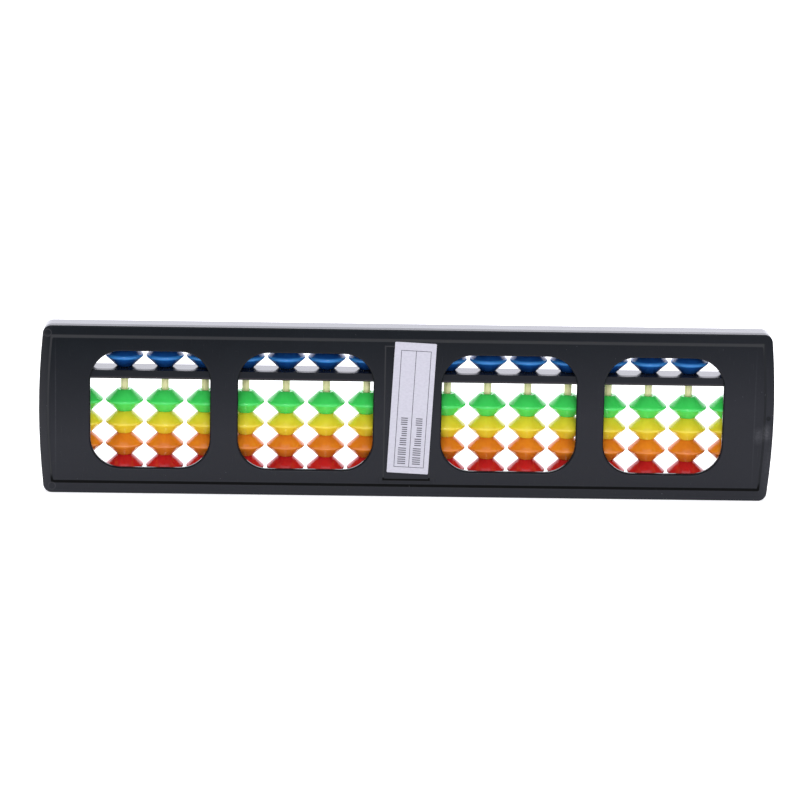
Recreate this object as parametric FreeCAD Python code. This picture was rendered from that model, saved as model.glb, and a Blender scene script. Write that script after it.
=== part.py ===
import FreeCAD, Part
import math
import os

# A seventeen-column student soroban, the bead frame with one upper and four lower beads a column.
#
# +X runs along the frame's length, +Y from the back cover towards the bead side, and +Z up, with
# the frame standing on its lower long edge. The origin is at the middle of the base. Lengths are
# in millimetres. A depth is measured forward from the rim of the back cover, the rearmost plane.

# --- The frame's outline -------------------------------------------------------------------
FRAME_LENGTH = 266.0
FRAME_HEIGHT = 62.0
FRAME_DEPTH = 13.3
END_BOW_RADIUS = 271.0
CORNER_RADIUS = 3.2
LEAST_CORNER_RADIUS = 0.4
WALL = 1.5

# --- Back cover ----------------------------------------------------------------------------
PARTING_DEPTH = 3.5
COVER_EDGE_ROUNDING = 0.5
TOP_RIM_WIDTH = 3.1
TOP_STEP_WIDTH = 1.7
BOTTOM_RIM_WIDTH = 3.5
BOTTOM_STEP_WIDTH = 1.3
END_RIM_WIDTH = 2.8
END_STEP_WIDTH = 1.0
STEP_CORNER_RADIUS = 0.6
PANEL_BACK = 0.6
PANEL_FRONT = 2.5
LIP_CLEARANCE = 0.1
LIP_THICKNESS = 0.8
LIP_END = 4.9
WINDOW_LOW = 9.5
WINDOW_HIGH = 52.6
WINDOW_SPANS = [(12.4, 61.2), (71.35, 114.5)]
WINDOW_CORNER_RADIUS = 11.0
WINDOW_EDGE_ROUNDING = 0.9
LABEL_RECESS_WIDTH = 17.4
LABEL_RECESS_HEIGHT = 50.4
LABEL_RECESS_MIDDLE = 31.0
LABEL_RECESS_DEPTH = 0.3
LABEL_RECESS_SLOPE = 0.8
EJECTOR_MARK_RADIUS = 1.3
EJECTOR_MARK_DEPTH = 0.08
EJECTOR_MARKS = [(-129.7, 59.3), (-128.4, 2.5)]
GATE_MARK_RADIUS = 0.8
GATE_MARK_X = 131.0
GATE_MARK_DEPTH = 0.3

# --- Front frame ---------------------------------------------------------------------------
OPENING_HALF_LENGTH = 126.0
OPENING_LOW = 4.45
OPENING_HIGH = 57.9
FACE_THICKNESS = 1.6
FRONT_EDGE_ROUNDING = 3.0
OPENING_EDGE_ROUNDING = 0.35
INNER_WALL_BACK = 2.6
BEAM_LOW = 42.2
BEAM_HIGH = 45.4
BEAM_BACK = 1.7
BEAM_SPLIT = 4.4
BEAM_LOWER_ROUNDING = 0.9
BEAM_UPPER_ROUNDING = 0.25

# --- Rods and what holds them --------------------------------------------------------------
COLUMNS = 17
PITCH = 14.65
ROD_RADIUS = 1.35
ROD_DEPTH = 9.8
ROD_LOW = 2.0
ROD_HIGH = 60.0
ROD_END_CHAMFER = 0.3
NOTCH_RADIUS = 1.4
FINGER_WIDTH = 2.5
FINGER_GAP = 0.05

# --- Pegs that locate the cover ------------------------------------------------------------
PEG_X = 129.2
PEG_HEIGHTS = [16.0, 46.0]
PEG_RADIUS = 0.75
PEG_END = 8.0
BOSS_RADIUS = 1.6
BOSS_BORE_RADIUS = 0.8
BOSS_BACK = 5.2
BOSS_BORE_END = 9.2

# --- Beads ---------------------------------------------------------------------------------
BEAD_DIAMETER = 13.85
BEAD_HEIGHT = 8.08
BEAD_STEP = 8.1
BEAD_NECK_RADIUS = 2.75
BEAD_BORE_RADIUS = 1.6
BEAD_EQUATOR_ROUNDING = 0.7
BEAD_NECK_ROUNDING = 0.25
BEAD_SEAT_GAP = 0.05
EARTH_BEADS = 4

# --- Label and unit dots -------------------------------------------------------------------
LABEL_WIDTH = 15.0
LABEL_HEIGHT = 48.6
LABEL_THICKNESS = 0.15
LABEL_CORNER_RADIUS = 0.4
LABEL_X = 1.53
LABEL_Z = 33.0
LABEL_TURN = 2.7
DOT_RADIUS = 0.8
DOT_THICKNESS = 0.3
DOT_EVERY = 3

# --- Worked out from the above -------------------------------------------------------------
OVERALL_DEPTH = ROD_DEPTH + BEAD_DIAMETER / 2
HALF_LENGTH = FRAME_LENGTH / 2
MIDDLE = FRAME_HEIGHT / 2
BOW_CENTRE = HALF_LENGTH - END_BOW_RADIUS
FACE_BACK = FRAME_DEPTH - FACE_THICKNESS
MIDDLE_COLUMN = (COLUMNS + 1) // 2
SPILL = 1.0
BITE = 0.2
SAME = 0.01

Y_DIRECTION = FreeCAD.Vector(0, 1, 0)
Z_DIRECTION = FreeCAD.Vector(0, 0, 1)


def point(x, depth, z):
    """A point from its place along the length, its depth from the cover's rim and its height."""
    return FreeCAD.Vector(x, depth - OVERALL_DEPTH / 2, z)


def box(x_range, depth_range, z_range):
    """A box between two values in each direction."""
    sides = [high - low for low, high in (x_range, depth_range, z_range)]
    return Part.makeBox(*sides, point(x_range[0], depth_range[0], z_range[0]))


def disc(radius, x, z, depth_range):
    """A round pin or hole along the depth."""
    low, high = depth_range
    return Part.makeCylinder(radius, high - low, point(x, low, z), Y_DIRECTION)


def column_x(column):
    """The place of a column's rod, with columns counted from 1."""
    return (column - MIDDLE_COLUMN) * PITCH


def joined(shapes):
    """One solid from touching or overlapping shapes."""
    return shapes[0].fuse(shapes[1:]).removeSplitter()


def bowed_outline(long_inset, end_inset, corner_radius, depth):
    """The frame's outline moved inward: straight long edges, bowed ends and round corners."""
    bow = END_BOW_RADIUS - end_inset
    corner_drop = MIDDLE - long_inset - corner_radius
    corner_x = BOW_CENTRE + math.sqrt((bow - corner_radius) ** 2 - corner_drop ** 2)
    along_x = (corner_x - BOW_CENTRE) / (bow - corner_radius)
    along_z = corner_drop / (bow - corner_radius)
    halfway = math.hypot(along_x, along_z + 1)
    flat_end = (corner_x, MIDDLE - long_inset)
    knuckle = (
        corner_x + corner_radius * along_x / halfway,
        corner_drop + corner_radius * (along_z + 1) / halfway,
    )
    bow_end = (BOW_CENTRE + bow * along_x, bow * along_z)
    bulge = (HALF_LENGTH - end_inset, 0.0)

    def corner(place, side, level):
        return point(side * place[0], depth, MIDDLE + level * place[1])

    edges = []
    for side, turn in ((1, 1), (-1, -1)):
        start, end = turn, -turn
        edges.append(Part.Arc(*[corner(p, side, start) for p in (flat_end, knuckle, bow_end)]))
        edges.append(
            Part.Arc(corner(bow_end, side, start), corner(bulge, side, 0), corner(bow_end, side, end))
        )
        edges.append(Part.Arc(*[corner(p, side, end) for p in (bow_end, knuckle, flat_end)]))
        edges.append(Part.LineSegment(corner(flat_end, side, end), corner(flat_end, -side, end)))
    return Part.Wire([edge.toShape() for edge in edges])


def bowed_plate(inset, depth_range):
    """A plate with the frame's outline, moved inward."""
    low, high = depth_range
    corner_radius = max(CORNER_RADIUS - inset, LEAST_CORNER_RADIUS)
    face = Part.Face(bowed_outline(inset, inset, corner_radius, low))
    return face.extrude(Y_DIRECTION * (high - low))


def step_outline(top_inset, bottom_inset, end_inset, depth):
    """An outline of the cover's sunk panel, which lies a little off the middle of the height."""
    outline = bowed_outline((top_inset + bottom_inset) / 2, end_inset, STEP_CORNER_RADIUS, depth)
    outline.translate(Z_DIRECTION * ((bottom_inset - top_inset) / 2))
    return outline


def round_edges(solid, radius, wanted):
    """The solid with the wanted edges rounded."""
    return solid.makeFillet(radius, [edge for edge in solid.Edges if wanted(edge)])


def at_depth(depth):
    """A test for edges that lie wholly at one depth."""
    level = point(0, depth, 0).y

    def test(edge):
        return max(abs(edge.BoundBox.YMin - level), abs(edge.BoundBox.YMax - level)) < SAME

    return test


def rounded_block(x_range, depth_range, z_range, radius):
    """A box whose four edges along the depth are rounded."""
    block = box(x_range, depth_range, z_range)
    length = depth_range[1] - depth_range[0]
    return round_edges(block, radius, lambda edge: abs(edge.BoundBox.YLength - length) < SAME)


def window_tools():
    """The four window cuts through the cover's panel."""
    tools = []
    for side in (-1, 1):
        for inner, outer in WINDOW_SPANS:
            span = sorted((side * inner, side * outer))
            tools.append(
                rounded_block(
                    span, (-SPILL, PARTING_DEPTH), (WINDOW_LOW, WINDOW_HIGH), WINDOW_CORNER_RADIUS
                )
            )
    return tools


def is_window_edge(edge):
    """True for the back edges of the windows."""
    bounds = edge.BoundBox
    inside = bounds.ZMin > WINDOW_LOW - SAME and bounds.ZMax < WINDOW_HIGH + SAME
    return at_depth(PANEL_BACK)(edge) and inside and abs(bounds.Center.x) < OPENING_HALF_LENGTH


def label_recess():
    """The shallow pocket with sloped sides in the cover's middle panel."""

    def level(shrink, depth):
        half_width = LABEL_RECESS_WIDTH / 2 - shrink
        half_height = LABEL_RECESS_HEIGHT / 2 - shrink
        low, high = LABEL_RECESS_MIDDLE - half_height, LABEL_RECESS_MIDDLE + half_height
        corners = [(-half_width, low), (half_width, low), (half_width, high), (-half_width, high)]
        return Part.makePolygon([point(x, depth, z) for x, z in corners + corners[:1]])

    slope = Part.makeLoft(
        [
            level(0, PANEL_BACK),
            level(LABEL_RECESS_SLOPE, PANEL_BACK + LABEL_RECESS_DEPTH),
        ],
        True,
        True,
    )
    return slope


def rod_fingers():
    """The cover's fingers that close each rod's notches in the rails and the beam."""
    rail_low = (OPENING_LOW - WALL + FINGER_GAP, OPENING_LOW - FINGER_GAP)
    rail_high = (OPENING_HIGH + FINGER_GAP, OPENING_HIGH + WALL - FINGER_GAP)
    beam = (BEAM_LOW + FINGER_GAP, BEAM_HIGH - FINGER_GAP)
    tip = ROD_DEPTH - ROD_RADIUS - FINGER_GAP
    fingers = []
    for column in range(1, COLUMNS + 1):
        middle = column_x(column)
        x_range = (middle - FINGER_WIDTH / 2, middle + FINGER_WIDTH / 2)
        for root, z_range in ((PANEL_FRONT, rail_low), (PANEL_FRONT, rail_high), (BEAM_SPLIT, beam)):
            fingers.append(box(x_range, (root - BITE, tip), z_range))
    return fingers


def cover_beam():
    """The cover's half of the beam, which crosses the windows, with a rounded lower edge."""
    reach = OPENING_HALF_LENGTH - LIP_CLEARANCE
    rib = box((-reach, reach), (BEAM_BACK, BEAM_SPLIT), (BEAM_LOW, BEAM_HIGH))

    def back_edge(height):
        return lambda edge: at_depth(BEAM_BACK)(edge) and abs(edge.BoundBox.Center.z - height) < SAME

    rib = round_edges(rib, BEAM_LOWER_ROUNDING, back_edge(BEAM_LOW))
    return round_edges(rib, BEAM_UPPER_ROUNDING, back_edge(BEAM_HIGH))


def back_cover():
    """The moulded back cover: rim, sunk panel with four windows, beam rib, fingers and pegs."""
    shell = round_edges(bowed_plate(0, (0, PARTING_DEPTH)), COVER_EDGE_ROUNDING, at_depth(0))
    shell = shell.cut(bowed_plate(WALL, (PANEL_FRONT, PARTING_DEPTH + SPILL)))
    mouth = step_outline(TOP_RIM_WIDTH, BOTTOM_RIM_WIDTH, END_RIM_WIDTH, 0)
    floor = step_outline(
        TOP_RIM_WIDTH + TOP_STEP_WIDTH,
        BOTTOM_RIM_WIDTH + BOTTOM_STEP_WIDTH,
        END_RIM_WIDTH + END_STEP_WIDTH,
        PANEL_BACK,
    )
    shell = shell.cut(Part.makeLoft([mouth, floor], True, True))
    shell = shell.cut(window_tools())
    shell = round_edges(shell, WINDOW_EDGE_ROUNDING, is_window_edge)
    shell = shell.cut(label_recess())

    mark_depths = (-SPILL, EJECTOR_MARK_DEPTH)
    marks = [disc(EJECTOR_MARK_RADIUS, x, z, mark_depths) for x, z in EJECTOR_MARKS]
    marks.append(disc(GATE_MARK_RADIUS, GATE_MARK_X, MIDDLE, (-SPILL, GATE_MARK_DEPTH)))
    shell = shell.cut(marks)

    lip_inset = WALL + LIP_CLEARANCE
    lip = bowed_plate(lip_inset, (PANEL_FRONT - BITE, LIP_END))
    lip = lip.cut(bowed_plate(lip_inset + LIP_THICKNESS, (PANEL_FRONT - SPILL, LIP_END + SPILL)))
    pegs = [
        disc(PEG_RADIUS, side * PEG_X, height, (PANEL_FRONT - BITE, PEG_END))
        for side in (-1, 1)
        for height in PEG_HEIGHTS
    ]
    return joined([shell, lip, cover_beam()] + pegs + rod_fingers())


def rod_notches():
    """The cuts that take the rods: a slot from the back with a round bottom, for each column."""
    notches = []
    for column in range(1, COLUMNS + 1):
        middle = column_x(column)
        x_range = (middle - NOTCH_RADIUS, middle + NOTCH_RADIUS)
        z_range = (ROD_LOW, ROD_HIGH)
        notches.append(box(x_range, (0, ROD_DEPTH), z_range))
        notches.append(
            Part.makeCylinder(
                NOTCH_RADIUS, ROD_HIGH - ROD_LOW, point(middle, ROD_DEPTH, ROD_LOW), Z_DIRECTION
            )
        )
    return notches


def dot_columns():
    """The columns that carry a unit dot: the middle one and every third from it."""
    return [c for c in range(1, COLUMNS + 1) if (c - MIDDLE_COLUMN) % DOT_EVERY == 0 and 1 < c < COLUMNS]


def dots(depth_range):
    """The round unit marks in the front of the beam."""
    height = (BEAM_LOW + BEAM_HIGH) / 2
    return [disc(DOT_RADIUS, column_x(column), height, depth_range) for column in dot_columns()]


def front_frame():
    """The moulded front frame: hollow rails and ends around the bead opening, and the beam."""
    frame = bowed_plate(0, (PARTING_DEPTH, FRAME_DEPTH))
    frame = round_edges(frame, FRONT_EDGE_ROUNDING, at_depth(FRAME_DEPTH))
    frame = frame.cut(bowed_plate(WALL, (PARTING_DEPTH - SPILL, FACE_BACK)))

    reach = OPENING_HALF_LENGTH + WALL
    inner_wall = box(
        (-reach, reach), (INNER_WALL_BACK, FRAME_DEPTH - BITE), (OPENING_LOW - WALL, OPENING_HIGH + WALL)
    )
    bosses = [
        disc(BOSS_RADIUS, side * PEG_X, height, (BOSS_BACK, FACE_BACK + BITE))
        for side in (-1, 1)
        for height in PEG_HEIGHTS
    ]
    frame = joined([frame, inner_wall] + bosses)
    opening = box(
        (-OPENING_HALF_LENGTH, OPENING_HALF_LENGTH),
        (0, FRAME_DEPTH + SPILL),
        (OPENING_LOW, OPENING_HIGH),
    )
    frame = frame.cut(opening)
    frame = round_edges(frame, OPENING_EDGE_ROUNDING, is_opening_edge)

    beam_ends = (-OPENING_HALF_LENGTH - WALL / 2, OPENING_HALF_LENGTH + WALL / 2)
    beam = round_edges(
        box(beam_ends, (BEAM_SPLIT, FRAME_DEPTH), (BEAM_LOW, BEAM_HIGH)),
        OPENING_EDGE_ROUNDING,
        lambda edge: at_depth(FRAME_DEPTH)(edge) and edge.BoundBox.XLength > FRAME_HEIGHT,
    )
    frame = joined([frame, beam])
    bores = [
        disc(BOSS_BORE_RADIUS, side * PEG_X, height, (BOSS_BACK - SPILL, BOSS_BORE_END))
        for side in (-1, 1)
        for height in PEG_HEIGHTS
    ]
    return frame.cut(bores + rod_notches() + dots((FRAME_DEPTH - DOT_THICKNESS, FRAME_DEPTH + SPILL)))


def is_opening_edge(edge):
    """True for the front edges of the bead opening."""
    bounds = edge.BoundBox
    inside = bounds.ZMin > OPENING_LOW - SAME and bounds.ZMax < OPENING_HIGH + SAME
    reach = max(abs(bounds.XMin), abs(bounds.XMax))
    return at_depth(FRAME_DEPTH)(edge) and inside and reach < OPENING_HALF_LENGTH + SAME


def rod(column):
    """One bamboo rod, with its ends broken."""
    shaft = Part.makeCylinder(
        ROD_RADIUS, ROD_HIGH - ROD_LOW, point(column_x(column), ROD_DEPTH, ROD_LOW), Z_DIRECTION
    )
    return shaft.makeChamfer(ROD_END_CHAMFER, [e for e in shaft.Edges if e.BoundBox.ZLength < SAME])


def bead_at_origin():
    """One bicone bead on the Z axis, standing on its lower neck, with a rounded equator."""
    half_angle = math.atan2(BEAD_HEIGHT / 2, BEAD_DIAMETER / 2 - BEAD_NECK_RADIUS)
    lost = BEAD_EQUATOR_ROUNDING * (1 / math.sin(half_angle) - 1)
    section = [
        (BEAD_BORE_RADIUS, 0),
        (BEAD_NECK_RADIUS, 0),
        (BEAD_DIAMETER / 2 + lost, BEAD_HEIGHT / 2),
        (BEAD_NECK_RADIUS, BEAD_HEIGHT),
        (BEAD_BORE_RADIUS, BEAD_HEIGHT),
    ]
    corners = [FreeCAD.Vector(radius, 0, height) for radius, height in section + section[:1]]
    body = Part.Face(Part.makePolygon(corners)).revolve(FreeCAD.Vector(), Z_DIRECTION, 360)
    body = round_edges(
        body,
        BEAD_EQUATOR_ROUNDING,
        lambda edge: edge.BoundBox.ZLength < SAME and edge.BoundBox.XLength > BEAD_DIAMETER,
    )
    neck = 2 * BEAD_NECK_RADIUS
    return round_edges(
        body,
        BEAD_NECK_ROUNDING,
        lambda edge: edge.BoundBox.ZLength < SAME and abs(edge.BoundBox.XLength - neck) < SAME,
    )


def bead(column, height):
    """One bead on a column's rod, with its lower neck at a height."""
    placed = BEAD.copy()
    placed.translate(point(column_x(column), ROD_DEPTH, height))
    return placed


def earth_beads(column):
    """The four lower beads of a column, stacked on the lower rail."""
    seat = OPENING_LOW + BEAD_SEAT_GAP
    return Part.makeCompound([bead(column, seat + BEAD_STEP * number) for number in range(EARTH_BEADS)])


def heaven_bead(column):
    """The one upper bead of a column, resting on the beam."""
    return bead(column, BEAM_HIGH + BEAD_SEAT_GAP)


def name_label():
    """The paper label, stuck a little askew on the cover's middle panel."""
    label = rounded_block(
        (LABEL_X - LABEL_WIDTH / 2, LABEL_X + LABEL_WIDTH / 2),
        (PANEL_BACK - LABEL_THICKNESS, PANEL_BACK),
        (LABEL_Z - LABEL_HEIGHT / 2, LABEL_Z + LABEL_HEIGHT / 2),
        LABEL_CORNER_RADIUS,
    )
    label.rotate(point(LABEL_X, PANEL_BACK, LABEL_Z), Y_DIRECTION, LABEL_TURN)
    return label


def unit_dots():
    """The white unit marks, let into the front of the beam."""
    return Part.makeCompound(dots((FRAME_DEPTH - DOT_THICKNESS, FRAME_DEPTH)))


def save(name, shape):
    """Write one node, after a check that it is sound."""
    if not shape.isValid():
        raise ValueError(name + " is not a valid shape")
    shape.exportStep("parts/" + name + ".step")
    print(name, "solids", len(shape.Solids), "volume", round(shape.Volume, 2))


BEAD = bead_at_origin()
os.makedirs("parts", exist_ok=True)
save("back_cover", back_cover())
save("front_frame", front_frame())
save("name_label", name_label())
save("unit_dots", unit_dots())
for column in range(1, COLUMNS + 1):
    save("rod_%02d" % column, rod(column))
    save("heaven_bead_%02d" % column, heaven_bead(column))
    save("earth_beads_%02d" % column, earth_beads(column))
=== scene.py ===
import math

import bmesh
import bpy
from mathutils import Matrix, Quaternion, Vector


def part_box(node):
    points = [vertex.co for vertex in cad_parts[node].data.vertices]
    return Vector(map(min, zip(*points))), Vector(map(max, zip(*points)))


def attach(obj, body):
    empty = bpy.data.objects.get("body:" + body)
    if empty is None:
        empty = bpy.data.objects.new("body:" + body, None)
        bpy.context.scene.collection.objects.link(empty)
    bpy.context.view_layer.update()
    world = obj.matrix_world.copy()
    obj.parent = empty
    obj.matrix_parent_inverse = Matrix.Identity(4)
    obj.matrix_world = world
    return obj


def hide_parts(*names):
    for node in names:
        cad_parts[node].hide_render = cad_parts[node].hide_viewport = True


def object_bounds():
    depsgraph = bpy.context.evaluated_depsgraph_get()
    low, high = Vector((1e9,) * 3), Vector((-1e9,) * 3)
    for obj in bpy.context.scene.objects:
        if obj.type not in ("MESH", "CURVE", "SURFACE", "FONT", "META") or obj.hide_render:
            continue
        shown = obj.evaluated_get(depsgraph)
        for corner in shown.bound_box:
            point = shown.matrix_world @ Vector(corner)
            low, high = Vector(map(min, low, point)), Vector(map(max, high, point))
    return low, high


# A seventeen-column soroban, seen from its back cover. +X runs along the frame, +Y from the
# cover to the bead side, +Z up, in metres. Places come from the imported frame's own boxes.

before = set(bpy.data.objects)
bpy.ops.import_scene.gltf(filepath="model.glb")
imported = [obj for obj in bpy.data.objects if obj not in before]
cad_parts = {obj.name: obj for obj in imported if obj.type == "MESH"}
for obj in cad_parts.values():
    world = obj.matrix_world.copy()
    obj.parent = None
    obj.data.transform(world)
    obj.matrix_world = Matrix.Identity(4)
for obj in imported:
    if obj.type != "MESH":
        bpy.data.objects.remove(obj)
CAD_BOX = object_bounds()

MM = 0.001


def rgb(red, green, blue):
    return (red, green, blue, 1.0)


COLUMNS = 17
EARTH_COLOURS = ("red", "orange", "yellow", "green")

# --- Camera --------------------------------------------------------------------------------
CAMERA_LENS = 166.5
CAMERA_DISTANCE = 1.3366
CAMERA_ELEVATION = 13.5
CAMERA_AZIMUTH = -1.6
CAMERA_ROLL = 1.127
CAMERA_AIM_X = -2.76 * MM
CAMERA_AIM_Z = 36.16 * MM

# --- Back cover: depths are from its rim, and each is the middle of a sloped face -----------
SLOPE_DEPTH = 0.30 * MM
POCKET_DEPTH = 0.75 * MM
WINDOW_EDGE_DEPTH = 1.05 * MM
BEAM_EDGE_DEPTH = 2.1 * MM
SLOPE_LOW, SLOPE_HIGH = 3.4 * MM, 58.9 * MM
SLOPE_SOFTNESS = 0.1 * MM
BEAM_EDGE_HEIGHT = 42.5 * MM
LABEL_HALF_WIDTH = 8.2 * MM
RIGHT_SLOPE_X = 128.4 * MM
# Painted reflection of the bright floor on the black plastic: the heights where it is gone and
# where it is full, and how far its fade leans with X.
PAINTED_REFLECTION_HEIGHTS = (64 * MM, 27 * MM)
PAINTED_REFLECTION_LEAN = 0.06

# Paler marks: middle (X, Z), half widths and strength. The first two are fine lines.
COVER_MARKS = (
    ((-127.0 * MM, 31.0 * MM), (0.25 * MM, 24.0 * MM), 0.16),
    ((126.0 * MM, 31.0 * MM), (0.25 * MM, 24.0 * MM), 0.12),
    ((130.6 * MM, 25.6 * MM), (1.5 * MM, 3.0 * MM), 0.45),
    ((127.7 * MM, 24.3 * MM), (1.8 * MM, 2.8 * MM), 0.34),
    ((132.0 * MM, 10.0 * MM), (3.0 * MM, 14.0 * MM), 0.16),
)
EJECTOR_RADIUS = 1.3 * MM
EJECTOR_LINE = 0.18 * MM
EJECTOR_RINGS = ((-129.7 * MM, 59.3 * MM), (-128.4 * MM, 2.5 * MM))

# --- Lights: the softboxes' places, sizes and powers, and the strengths of the surroundings --
REAR_SOFTBOX = ((0.0, 0.95, 0.90), (1.1, 0.7), 8)
FRONT_SOFTBOX = ((0.0, -1.60, 0.72), (0.8, 0.25), 7.8)
SOFTBOX_TARGET = (0.0, 0.0, 0.03)
FLOOR_REACH = 6.0
FLOOR_GLOW = (0.0, 0.55)
WORLD_FRONT = 0.52
WORLD_BEHIND = 1.6
WORLD_SIDES = 0.5
WORLD_OVERHEAD = 0.95

# --- Beads ---------------------------------------------------------------------------------
BEAD_NECK_RADIUS = 2.75 * MM
BEAD_BORE_RADIUS = 1.6 * MM
EQUATOR_ROUNDING = 0.7 * MM
NECK_ROUNDING = 0.25 * MM
BORE_CHAMFER = 0.12 * MM
EQUATOR_STEPS = 8
NECK_STEPS = 4
CONE_SHARES = (0.04, 0.5, 0.96)
BEAD_SEGMENTS = 72
SHARP_ANGLE = 38

# Each bead plastic: its colour, its deeper colour, the colour, half height and strength of its
# painted highlight round the equator (a painted glow on blue), and how far it scatters light.
# Painted highlights round the beads' equators; on the blue beads it is a painted glow.
PAINTED_RIDGE_HIGHLIGHT = (rgb(1.0, 1.0, 1.0), 0.25 * MM, 0.02)
PAINTED_BLUE_RIDGE_GLOW = (rgb(0.035, 0.22, 0.56), 0.65 * MM, 0.9)
BEAD_LOOKS = {
    "blue": (rgb(0.009, 0.079, 0.30), rgb(0.007, 0.058, 0.23), PAINTED_BLUE_RIDGE_GLOW, 0.5),
    "green": (rgb(0.060, 0.70, 0.12), rgb(0.045, 0.62, 0.095), PAINTED_RIDGE_HIGHLIGHT, 0.15),
    "yellow": (rgb(0.79, 0.64, 0.036), rgb(0.71, 0.55, 0.026), PAINTED_RIDGE_HIGHLIGHT, 0.15),
    "orange": (rgb(0.71, 0.215, 0.013), rgb(0.61, 0.155, 0.011), PAINTED_RIDGE_HIGHLIGHT, 0.15),
    "red": (rgb(0.52, 0.014, 0.016), rgb(0.42, 0.010, 0.012), PAINTED_RIDGE_HIGHLIGHT, 0.12),
}

# --- Label ---------------------------------------------------------------------------------
LABEL_TURN = 2.7
INK_THICKNESS = 0.02 * MM
# The ruled box: left, right, bottom and top from the label's middle.
RULE_BOX = (-5.02 * MM, 5.69 * MM, -22.1 * MM, 21.4 * MM)
RULE_WIDTH = 0.22 * MM
MARK_STROKE = 0.38 * MM
# Each row of bars on the label: its start up the label, its bars, and its left and right ends.
MARK_ROWS = (
    (1.2 * MM, 4, 1.1 * MM, 4.0 * MM),
    (4.6 * MM, 4, 1.1 * MM, 4.0 * MM),
    (8.2 * MM, 4, 1.5 * MM, 3.9 * MM),
    (11.6 * MM, 5, 2.0 * MM, 3.9 * MM),
    (15.8 * MM, 4, 1.5 * MM, 3.9 * MM),
)
MARK_PITCH = 0.78 * MM


# ============================================================================================
# Materials
# ============================================================================================


class Shader:
    """One Principled material, with short ways to add what these materials share."""

    def __init__(self, name, **fixed):
        self.material = bpy.data.materials.new(name)
        self.material.use_nodes = True
        self.tree = self.material.node_tree
        self.surface = self.tree.nodes["Principled BSDF"]
        for socket, value in fixed.items():
            self.surface.inputs[socket.replace("_", " ")].default_value = value
        self.place = self.node("ShaderNodeTexCoord").outputs["Object"]
        self.height = None

    def node(self, kind, **settings):
        made = self.tree.nodes.new(kind)
        for name, value in settings.items():
            setattr(made, name, value)
        return made

    def feed(self, socket, value):
        """Put a number, a colour or another node's output on a socket."""
        if isinstance(value, bpy.types.NodeSocket):
            self.tree.links.new(value, socket)
        else:
            socket.default_value = value

    def stretched(self, x, y, z, turn=0.0):
        """Object coordinates scaled along each direction, and turned about the depth."""
        mapping = self.node("ShaderNodeMapping")
        self.feed(mapping.inputs["Vector"], self.place)
        mapping.inputs["Scale"].default_value = (x, y, z)
        mapping.inputs["Rotation"].default_value = (0, math.radians(turn), 0)
        return mapping.outputs["Vector"]

    def noise(self, scale, detail=3.0, roughness=0.5, vector=None, distortion=0.0):
        made = self.node("ShaderNodeTexNoise")
        self.feed(made.inputs["Vector"], vector or self.place)
        made.inputs["Scale"].default_value = scale
        made.inputs["Detail"].default_value = detail
        made.inputs["Roughness"].default_value = roughness
        made.inputs["Distortion"].default_value = distortion
        return made.outputs["Fac"]

    def specks(self, scale, size, vector=None):
        """1 in small round specks, 0 between them."""
        made = self.node("ShaderNodeTexVoronoi")
        self.feed(made.inputs["Vector"], vector or self.place)
        made.inputs["Scale"].default_value = scale
        return self.span(made.outputs["Distance"], size, size * 0.4, 0, 1)

    def span(self, value, from_low, from_high, to_low=0.0, to_high=1.0, smooth=True):
        """A value moved from one span to another, and kept inside it."""
        kind = "SMOOTHSTEP" if smooth else "LINEAR"
        made = self.node("ShaderNodeMapRange", interpolation_type=kind)
        for name, number in (
            ("Value", value),
            ("From Min", from_low),
            ("From Max", from_high),
            ("To Min", to_low),
            ("To Max", to_high),
        ):
            self.feed(made.inputs[name], number)
        return made.outputs["Result"]

    def near(self, value, middle, half, core=0.7):
        """1 where a value is within a core of the half width, falling softly to 0 outside."""
        away = self.node("ShaderNodeMath", operation="ABSOLUTE")
        self.feed(away.inputs[0], self.sums("SUBTRACT", value, middle))
        return self.span(away.outputs["Value"], half * 1.4, half * core)

    def sums(self, operation, a, b):
        made = self.node("ShaderNodeMath", operation=operation)
        self.feed(made.inputs[0], a)
        self.feed(made.inputs[1], b)
        return made.outputs["Value"]

    def product(self, first, *others):
        """Values multiplied together."""
        for other in others:
            first = self.sums("MULTIPLY", first, other)
        return first

    def inverse(self, mask):
        """0 where a mask is 1, and 1 where it is 0."""
        return self.span(mask, 0.0, 1.0, 1.0, 0.0)

    def mix(self, factor, a, b):
        """Colour a where the factor is 0 and colour b where it is 1."""
        made = self.node("ShaderNodeMix", data_type="RGBA")
        self.feed(made.inputs["Factor"], factor)
        self.feed(made.inputs[6], a)
        self.feed(made.inputs[7], b)
        return made.outputs[2]

    def axis(self, name):
        """One of the object coordinates."""
        made = self.node("ShaderNodeSeparateXYZ")
        self.feed(made.inputs[0], self.place)
        return made.outputs[name]

    def raise_by(self, value, distance):
        """Add a value times a distance to the bump's height."""
        part = self.product(value, distance)
        self.height = part if self.height is None else self.sums("ADD", self.height, part)

    def finish(self, colour, roughness):
        self.feed(self.surface.inputs["Base Color"], colour)
        self.feed(self.surface.inputs["Roughness"], roughness)
        if self.height is not None:
            bump = self.node("ShaderNodeBump")
            bump.inputs["Distance"].default_value = 1.0
            self.feed(bump.inputs["Height"], self.height)
            self.feed(self.surface.inputs["Normal"], bump.outputs["Normal"])
        return self.material


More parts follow.
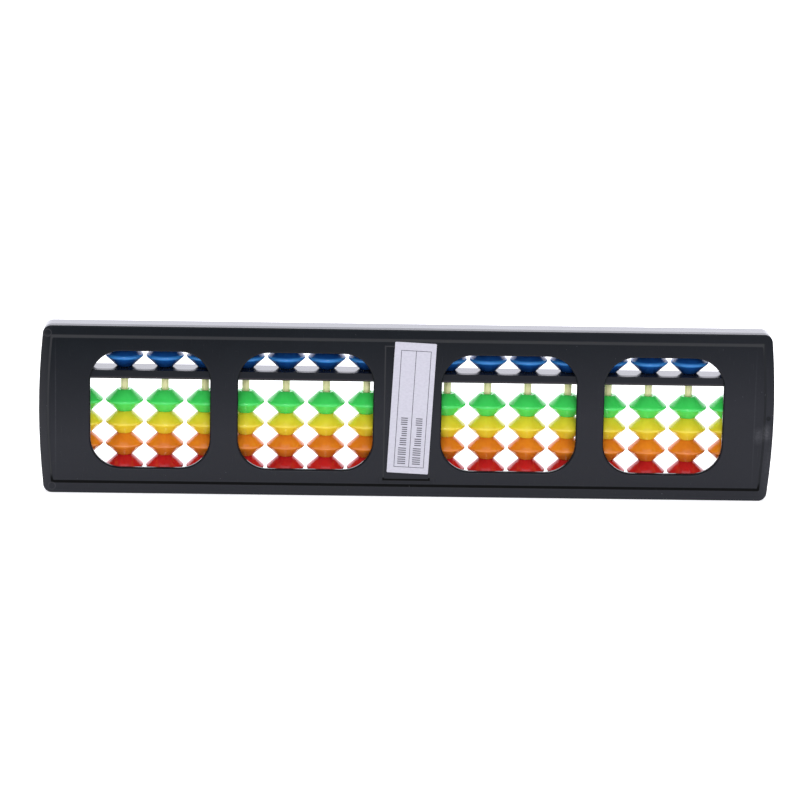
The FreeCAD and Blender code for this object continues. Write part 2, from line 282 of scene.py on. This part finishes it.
def black_plastic(name, gloss, smooth, paleness_and_painted_light, marks=(), rings=()):
    """Moulded black styrene: faint orange peel, dust, fine scratches and local marks.

    Its colour has a painted reflection of the bright floor, lighter towards the bottom, and
    painted highlights on the panel's slopes apart from the lowest one, round the label's pocket,
    on the upper window rims and along the beam; the lowest slope and the pocket's lowest wall
    have painted shade, and the rim's left end is paler. Each mark is a paler patch or line,
    given as its middle, half widths and strength, and each ring is where an ejector pin stood.
    """
    s = Shader(name, IOR=1.5, Specular_IOR_Level=gloss)
    x, y, z = (s.axis(which) for which in "XYZ")
    rim = CAD_BOX[0][1]

    # Where the plastic is paler or darker, as masks of 0 to 1.
    label_side = s.near(x, 0.0, LABEL_HALF_WIDTH, 1.1)
    slopes = s.product(
        s.near(y, rim + SLOPE_DEPTH, 0.20 * MM),
        s.span(z, SLOPE_LOW - SLOPE_SOFTNESS, SLOPE_LOW + SLOPE_SOFTNESS),
        s.span(z, SLOPE_HIGH + SLOPE_SOFTNESS, SLOPE_HIGH - SLOPE_SOFTNESS),
    )
    window_edges = s.product(
        s.near(y, rim + WINDOW_EDGE_DEPTH, 0.30 * MM), s.inverse(label_side)
    )
    # Painted reflection of the bright floor: lighter the lower it lies, and kept off the slopes and
    # window rims.
    kept_off_painted_reflection = s.sums("MAXIMUM", slopes, window_edges)
    leaning = s.sums("SUBTRACT", z, s.product(x, PAINTED_REFLECTION_LEAN))
    painted_floor_reflection = s.product(s.span(leaning, *PAINTED_REFLECTION_HEIGHTS, smooth=False), s.inverse(kept_off_painted_reflection))
    low_pocket = s.product(
        s.near(y, rim + POCKET_DEPTH, 0.12 * MM), label_side, s.span(z, 7.2 * MM, 6.8 * MM)
    )
    pocket = s.product(s.near(y, rim + POCKET_DEPTH, 0.09 * MM), label_side)
    pocket = s.sums("SUBTRACT", pocket, low_pocket)
    # Painted shade: the lowest slope and the pocket's lowest wall are darkened.
    painted_low_shade = s.sums("MAXIMUM", s.product(slopes, s.span(z, 8 * MM, 5 * MM)), low_pocket)
    # Painted highlights: the other slopes (dimmer at the right end), the pocket's walls and the
    # upper window rims are lightened.
    lit_slopes = s.product(
        slopes,
        s.span(z, 5 * MM, 8 * MM),
        s.span(x, RIGHT_SLOPE_X + 0.2 * MM, RIGHT_SLOPE_X - 0.2 * MM, 0.35, 1.0),
    )
    upper_edges = s.product(window_edges, s.span(z, 42 * MM, 50 * MM, 0.0, 0.6))
    bright = s.sums("MAXIMUM", s.sums("MAXIMUM", lit_slopes, pocket), upper_edges)
    # Painted highlight along the beam's near face.
    painted_beam_highlight = s.product(
        s.near(y, rim + BEAM_EDGE_DEPTH, 0.6 * MM), s.near(z, BEAM_EDGE_HEIGHT, 0.5 * MM)
    )
    # Paler on the rim's outer face at its left end.
    paler_left_rim = s.product(
        s.span(y, rim + 0.12 * MM, rim + 0.05 * MM), s.span(x, -127 * MM, -132 * MM)
    )

    # Fine wear all over.
    cloud = s.noise(55, detail=4, roughness=0.6)
    scratch_a = s.span(s.noise(1, 2, vector=s.stretched(260, 260, 9000, turn=24)), 0.66, 0.74)
    scratch_b = s.span(s.noise(1, 2, vector=s.stretched(7500, 300, 220, turn=-11)), 0.67, 0.75)
    scratches = s.sums("MAXIMUM", scratch_a, scratch_b)
    dusty = s.product(s.specks(420, 0.055), s.span(s.noise(90, 2), 0.5, 0.62))

    moulded = (rgb(0.0038, 0.0054, 0.0076), rgb(0.0050, 0.0070, 0.0096))
    base = s.mix(s.span(cloud, 0.3, 0.7), *moulded)
    for mask, colour in (
        # Painted reflection of the bright floor, lighter towards the bottom.
        (s.product(painted_floor_reflection, paleness_and_painted_light), rgb(0.0232, 0.0240, 0.0290)),
        # Painted shade on the lowest slope and the pocket's lowest wall.
        (painted_low_shade, rgb(0.0010, 0.0012, 0.0012)),
        # Painted highlights on the lit slopes, the pocket's walls and the upper window rims.
        (s.product(bright, paleness_and_painted_light), rgb(0.034, 0.035, 0.0375)),
        # Painted highlight along the beam.
        (s.product(painted_beam_highlight, paleness_and_painted_light), rgb(0.044, 0.040, 0.044)),
        # Paler on the rim's outer face at its left end.
        (s.product(paler_left_rim, 0.3 * paleness_and_painted_light), rgb(0.05, 0.05, 0.052)),
        (s.product(scratches, 0.12), rgb(0.05, 0.05, 0.055)),
        (s.product(dusty, 0.5), rgb(0.30, 0.30, 0.32)),
    ):
        base = s.mix(mask, base, colour)
    for (mark_x, mark_z), (half_x, half_z), strength in marks:
        patch = s.product(s.near(x, mark_x, half_x, 0.0), s.near(z, mark_z, half_z, 0.2))
        rubbed = s.span(s.noise(1500, 5, 0.75), 0.35, 0.65, 0.4, 1.0)
        base = s.mix(s.product(patch, rubbed, strength), base, rgb(0.11, 0.11, 0.12))
    for ring_x, ring_z in rings:
        across, along = s.sums("SUBTRACT", x, ring_x), s.sums("SUBTRACT", z, ring_z)
        away = s.sums("ADD", s.product(across, across), s.product(along, along))
        ring = s.near(s.sums("SQRT", away, 0.0), EJECTOR_RADIUS, EJECTOR_LINE)
        base = s.mix(s.product(ring, 0.45), base, rgb(0.055, 0.055, 0.060))

    rough = s.span(cloud, 0.25, 0.75, smooth, smooth + 0.06)
    rough = s.sums("ADD", rough, s.product(scratches, 0.06))
    rough = s.sums("ADD", rough, s.product(painted_low_shade, 0.5))
    s.raise_by(s.noise(900, 2), 0.002 * MM)
    s.raise_by(s.noise(60, 2), 0.01 * MM)
    s.raise_by(scratches, -0.001 * MM)
    return s.finish(base, rough)


def bead_plastic(name, colour, deep, ridge, scatter, equator):
    """Polished, slightly clouded bead plastic with faint flow marks and fine rubbing.

    Round the bead's equator, a height, its colour has a painted highlight: a lighter band that
    stands in for the light the thin rim lets through and reflects.
    """
    s = Shader(
        name, IOR=1.5, Specular_IOR_Level=0.4, Subsurface_Weight=scatter, Subsurface_Scale=1.6 * MM
    )
    s.surface.inputs["Subsurface Radius"].default_value = (1.0, 1.0, 1.0)
    cloud = s.noise(120, detail=3, roughness=0.6)
    flow = s.noise(1, 3, vector=s.stretched(420, 420, 60))
    clouded = s.sums("ADD", cloud, s.product(flow, 0.4))
    base = s.mix(s.span(clouded, 0.4, 1.0), colour, deep)
    # Painted highlight: a lighter band of colour round the equator's height.
    ridge_highlight_colour, half, strength = ridge
    ridge_highlight = s.product(s.near(s.axis("Z"), equator, half), strength)
    base = s.mix(ridge_highlight, base, ridge_highlight_colour)
    rubbed = s.span(s.noise(1, 2, vector=s.stretched(300, 300, 5200)), 0.62, 0.74)
    rough = s.span(cloud, 0.3, 0.7, 0.09, 0.14)
    rough = s.sums("ADD", rough, s.product(rubbed, 0.08))
    s.raise_by(cloud, 0.010 * MM)
    s.raise_by(s.noise(1500, 2), 0.0012 * MM)
    s.raise_by(s.noise(1, 2, vector=s.stretched(150, 150, 9000)), 0.003 * MM)
    return s.finish(base, rough)


def bamboo():
    """Planed bamboo rod: long pale fibres with darker strands and pores."""
    s = Shader("bamboo", IOR=1.45)
    fibres = s.noise(1, 4, 0.65, vector=s.stretched(2600, 2600, 45))
    strands = s.span(s.noise(1, 2, vector=s.stretched(1300, 1300, 18)), 0.52, 0.66)
    pores = s.span(s.noise(1, 2, vector=s.stretched(5200, 5200, 260)), 0.66, 0.74)
    base = s.mix(s.span(fibres, 0.3, 0.7), rgb(0.90, 0.86, 0.47), rgb(0.78, 0.76, 0.38))
    base = s.mix(s.product(strands, 0.35), base, rgb(0.62, 0.60, 0.28))
    base = s.mix(s.product(pores, 0.35), base, rgb(0.38, 0.33, 0.14))
    rough = s.span(fibres, 0.3, 0.7, 0.42, 0.60)
    s.raise_by(fibres, 0.03 * MM)
    s.raise_by(pores, -0.02 * MM)
    return s.finish(base, rough)


def label_paper():
    """Coated label paper, cool white, with a faint fibre and a few grey rubs."""
    s = Shader("label_paper", IOR=1.45)
    fibre = s.noise(1, 4, 0.6, vector=s.stretched(900, 900, 1400, turn=20))
    rub = s.span(s.noise(140, 4, 0.6), 0.56, 0.72)
    base = s.mix(s.span(fibre, 0.3, 0.7), rgb(0.55, 0.54, 0.60), rgb(0.50, 0.49, 0.55))
    base = s.mix(s.product(rub, 0.35), base, rgb(0.50, 0.50, 0.56))
    rough = s.span(fibre, 0.3, 0.7, 0.38, 0.50)
    s.raise_by(fibre, 0.006 * MM)
    s.raise_by(s.noise(70, 2), 0.03 * MM)
    return s.finish(base, rough)


def label_ink():
    """Grey printing ink, a little uneven."""
    s = Shader("label_ink", IOR=1.45)
    grain = s.noise(1800, 3, 0.7)
    base = s.mix(s.span(grain, 0.35, 0.65), rgb(0.07, 0.07, 0.085), rgb(0.12, 0.12, 0.14))
    return s.finish(base, s.span(grain, 0.3, 0.7, 0.45, 0.6))


def white_inlay():
    """White paint filled into the unit marks, slightly chalky."""
    s = Shader("white_inlay", IOR=1.45)
    grain = s.noise(2200, 4, 0.6)
    base = s.mix(s.span(grain, 0.35, 0.7), rgb(0.86, 0.86, 0.83), rgb(0.70, 0.70, 0.66))
    s.raise_by(grain, 0.01 * MM)
    return s.finish(base, s.span(grain, 0.3, 0.7, 0.40, 0.58))


# ============================================================================================
# Pieces
# ============================================================================================


def piece(name, mesh, material):
    """A new object from a mesh, shown with one material."""
    made = bpy.data.objects.new(name, mesh)
    mesh.materials.append(material)
    bpy.context.scene.collection.objects.link(made)
    return made


def arc_points(middle, radius, start, end, steps):
    """Points on an arc in a (radius, height) section, between two angles in radians."""
    points = []
    for step in range(steps + 1):
        angle = start + (end - start) * step / steps
        points.append((middle[0] + radius * math.cos(angle), middle[1] + radius * math.sin(angle)))
    return points


def bead_section(radius, height):
    """Half of a bead's section, from the lower bore round the outside to the upper bore."""
    slope = math.atan2(height / 2, radius - BEAD_NECK_RADIUS)
    lean = math.pi / 2 - slope
    apex = radius + EQUATOR_ROUNDING * (1 / math.sin(slope) - 1)
    drop = EQUATOR_ROUNDING / math.sin(slope)
    ridge_middle = (apex - drop, height / 2)
    ridge = arc_points(ridge_middle, EQUATOR_ROUNDING, -lean, lean, EQUATOR_STEPS)
    inset = NECK_ROUNDING * math.tan(slope / 2)
    neck_middle = (BEAD_NECK_RADIUS - inset, NECK_ROUNDING)
    neck = arc_points(neck_middle, NECK_ROUNDING, -math.pi / 2, -lean, NECK_STEPS)
    chamfer = [(BEAD_BORE_RADIUS, BORE_CHAMFER), (BEAD_BORE_RADIUS + BORE_CHAMFER, 0)]
    start, end = neck[-1], ridge[0]
    cone = [
        (start[0] + (end[0] - start[0]) * share, start[1] + (end[1] - start[1]) * share)
        for share in CONE_SHARES
    ]
    half = chamfer + neck + cone + ridge[: EQUATOR_STEPS // 2]
    equator = [ridge[EQUATOR_STEPS // 2]]
    return half + equator + [(r, height - z) for r, z in reversed(half)]


def turned_mesh(name, section, centre, base):
    """A closed ring-shaped mesh, turned round a vertical axis."""
    made = bmesh.new()
    rings = []
    for step in range(BEAD_SEGMENTS):
        angle = 2 * math.pi * step / BEAD_SEGMENTS
        rings.append(
            [
                made.verts.new(
                    (centre.x + r * math.cos(angle), centre.y + r * math.sin(angle), base + z)
                )
                for r, z in section
            ]
        )
    for step, ring in enumerate(rings):
        following = rings[(step + 1) % BEAD_SEGMENTS]
        for place in range(len(section)):
            after = (place + 1) % len(section)
            face = made.faces.new((ring[place], following[place], following[after], ring[after]))
            face.smooth = True
    bmesh.ops.recalc_face_normals(made, faces=made.faces)
    mesh = bpy.data.meshes.new(name)
    made.to_mesh(mesh)
    made.free()
    mesh.set_sharp_from_angle(angle=math.radians(SHARP_ANGLE))
    return mesh


def bead_equator(colour):
    """How high the widest part of a colour's beads lies with the joints at rest."""
    low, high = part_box("heaven_bead_01")
    if colour == "blue":
        return (low.z + high.z) / 2
    radius = (high.z - low.z) / 2
    low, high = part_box("earth_beads_01")
    share = EARTH_COLOURS.index(colour) / (len(EARTH_COLOURS) - 1)
    return low.z + radius + (high.z - low.z - 2 * radius) * share


def make_beads(plastics):
    """Every bead of every column: one upper bead, and four lower beads from the rail up."""
    low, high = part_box("heaven_bead_01")
    radius, height = (high.x - low.x) / 2, high.z - low.z
    section = bead_section(radius, height)

    def bead(name, colour, column_box, base, body, node):
        centre = (column_box[0] + column_box[1]) / 2
        made = piece(name, turned_mesh(name, section, centre, base), plastics[colour])
        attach(made, body)
        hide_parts(node)

    for column in range(1, COLUMNS + 1):
        tag = "%02d" % column
        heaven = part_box("heaven_bead_" + tag)
        bead("bead_blue_" + tag, "blue", heaven, heaven[0].z, "heaven_" + tag, "heaven_bead_" + tag)
        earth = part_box("earth_beads_" + tag)
        step = (earth[1].z - earth[0].z - height) / (len(EARTH_COLOURS) - 1)
        for number, colour in enumerate(EARTH_COLOURS):
            bead(
                "bead_%s_%s" % (colour, tag),
                colour,
                earth,
                earth[0].z + step * number,
                "earth_" + tag,
                "earth_beads_" + tag,
            )


def add_bar(made, u_range, v_range, w_range):
    """A flat bar in the label's own plane: u to the right, v up and w away from the paper."""
    corners = [(u, v, w) for w in w_range for u, v in (
        (u_range[0], v_range[0]),
        (u_range[1], v_range[0]),
        (u_range[1], v_range[1]),
        (u_range[0], v_range[1]),
    )]
    verts = [made.verts.new((u, -w, v)) for u, v, w in corners]
    sides = [(i, (i + 1) % 4, (i + 1) % 4 + 4, i + 4) for i in range(4)]
    for face in [(0, 3, 2, 1), (4, 5, 6, 7)] + sides:
        made.faces.new([verts[i] for i in face])


def greeked_marks(made, u_start, v_start, w_range):
    """Plain bars that stand for a line of writing, running up the label."""
    for start, bars, left, right in MARK_ROWS:
        for bar in range(bars):
            v = v_start + start + MARK_PITCH * bar
            add_bar(made, (u_start + left, u_start + right), (v, v + MARK_STROKE), w_range)


def make_label_print(ink):
    """The ruled box with a dividing line, and two runs of greeked marks."""
    low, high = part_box("name_label")
    centre = (low + high) / 2
    left, right, bottom, top = RULE_BOX
    w_range = (0, INK_THICKNESS)
    middle = (left + right) / 2
    made = bmesh.new()
    for u in (left, middle, right):
        add_bar(made, (u - RULE_WIDTH / 2, u + RULE_WIDTH / 2), (bottom, top), w_range)
    for v in (bottom, top):
        for start, end in ((left, middle), (middle, right)):
            span = (start + RULE_WIDTH / 2, end - RULE_WIDTH / 2)
            shift = RULE_WIDTH if v == bottom else -RULE_WIDTH
            add_bar(made, span, sorted((v, v + shift)), w_range)
    for u in (left, middle):
        greeked_marks(made, u, bottom, w_range)
    mesh = bpy.data.meshes.new("label_print")
    made.to_mesh(mesh)
    made.free()
    turn = Matrix.Rotation(math.radians(LABEL_TURN), 4, "Y")
    mesh.transform(Matrix.Translation((centre.x, low.y, centre.z)) @ turn)
    printed = piece("label_print", mesh, ink)
    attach(printed, "frame")


def dress(node, material):
    """Give a CAD node its finished material."""
    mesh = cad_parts[node].data
    mesh.materials.clear()
    mesh.materials.append(material)


# ============================================================================================
# Stage
# ============================================================================================


def make_floor():
    """A whitish sweep that glows behind the soroban and fades out in front of it.

    The glow is painted light, which washes out the soroban's contact shadow.
    """
    corners = [
        (right * FLOOR_REACH, back * FLOOR_REACH, 0)
        for right, back in ((-1, -1), (1, -1), (1, 1), (-1, 1))
    ]
    mesh = bpy.data.meshes.new("floor")
    mesh.from_pydata(corners, [], [(0, 1, 2, 3)])
    s = Shader("floor_white", IOR=1.45)
    depth = s.axis("Y")
    grain = s.noise(40, 3)
    base = s.mix(s.span(grain, 0.3, 0.7), rgb(0.70, 0.70, 0.69), rgb(0.72, 0.72, 0.71))
    # Painted light: the floor glows near and behind the soroban, washing out its contact shadow.
    s.feed(s.surface.inputs["Emission Strength"], s.span(depth, -0.25, -0.02, *FLOOR_GLOW))
    s.surface.inputs["Emission Color"].default_value = rgb(1, 1, 1)
    floor = piece("floor", mesh, s.finish(base, 0.75))
    floor.location.z = -0.02 * MM


def make_world():
    """Soft studio surroundings: bright behind, overhead and at the ends, dim in front."""
    world = bpy.data.worlds.new("studio")
    bpy.context.scene.world = world
    world.use_nodes = True
    nodes, links = world.node_tree.nodes, world.node_tree.links
    split = nodes.new("ShaderNodeSeparateXYZ")
    links.new(nodes.new("ShaderNodeTexCoord").outputs["Generated"], split.inputs[0])

    def ramp(value, low, high, strength):
        made = nodes.new("ShaderNodeMapRange")
        made.interpolation_type = "SMOOTHSTEP"
        made.inputs["From Min"].default_value = low
        made.inputs["From Max"].default_value = high
        made.inputs["To Max"].default_value = strength
        links.new(value, made.inputs["Value"])
        return made.outputs["Result"]

    def combined(operation, a, b):
        made = nodes.new("ShaderNodeMath")
        made.operation = operation
        for socket, value in zip(made.inputs, (a, b)):
            if isinstance(value, bpy.types.NodeSocket):
                links.new(value, socket)
            else:
                socket.default_value = value
        return made.outputs["Value"]

    x, y, z = split.outputs
    behind = ramp(y, -0.10, 0.85, WORLD_BEHIND)
    sides = ramp(combined("ABSOLUTE", x, 0.0), 0.80, 0.97, WORLD_SIDES)
    around = combined("MULTIPLY", combined("ADD", behind, sides), ramp(z, 0.80, 0.25, 1.0))
    overhead = ramp(z, 0.25, 0.95, WORLD_OVERHEAD)
    total = combined("ADD", combined("ADD", around, overhead), WORLD_FRONT)
    links.new(total, nodes["Background"].inputs["Strength"])
    nodes["Background"].inputs["Color"].default_value = rgb(0.97, 0.97, 1.07)


def make_light(name, location, size, power):
    """A large soft light that points at the soroban."""
    light = bpy.data.lights.new(name, "AREA")
    light.shape = "RECTANGLE"
    light.size, light.size_y = size
    light.energy = power
    made = bpy.data.objects.new(name, light)
    made.location = location
    made.rotation_mode = "QUATERNION"
    towards = Vector(SOFTBOX_TARGET) - Vector(location)
    made.rotation_quaternion = towards.to_track_quat("-Z", "Y")
    bpy.context.scene.collection.objects.link(made)


def make_camera():
    """The camera, a little above the back cover and slightly rolled."""
    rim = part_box("back_cover")[0].y
    aim = Vector((CAMERA_AIM_X, rim, CAMERA_AIM_Z))
    turn, lift = math.radians(CAMERA_AZIMUTH), math.radians(CAMERA_ELEVATION)
    level = math.cos(lift)
    back = Vector((math.sin(turn) * level, -math.cos(turn) * level, math.sin(lift)))
    data = bpy.data.cameras.new("camera")
    data.lens = CAMERA_LENS
    data.sensor_width = 36
    data.clip_start, data.clip_end = 0.05, 50
    camera = bpy.data.objects.new("camera", data)
    camera.rotation_mode = "QUATERNION"
    roll = Quaternion((0, 0, 1), math.radians(CAMERA_ROLL))
    camera.rotation_quaternion = (-back).to_track_quat("-Z", "Y") @ roll
    camera.location = aim + back * CAMERA_DISTANCE
    bpy.context.scene.collection.objects.link(camera)
    bpy.context.scene.camera = camera


make_camera()
make_world()
make_floor()
make_light("rear_softbox", *REAR_SOFTBOX)
make_light("front_softbox", *FRONT_SOFTBOX)

cover_plastic = black_plastic("black_plastic_cover", 0.09, 0.20, 0.85, COVER_MARKS, EJECTOR_RINGS)
frame_plastic = black_plastic("black_plastic_frame", 0.45, 0.12, 0.6)
plastics = {
    colour: bead_plastic("bead_" + colour, *BEAD_LOOKS[colour], bead_equator(colour))
    for colour in BEAD_LOOKS
}

dress("back_cover", cover_plastic)
dress("front_frame", frame_plastic)
dress("name_label", label_paper())
dress("unit_dots", white_inlay())
rod_wood = bamboo()
for column in range(1, COLUMNS + 1):
    dress("rod_%02d" % column, rod_wood)
make_beads(plastics)
make_label_print(label_ink())

bpy.context.scene.view_settings.view_transform = "Standard"
bpy.context.scene.view_settings.look = "None"
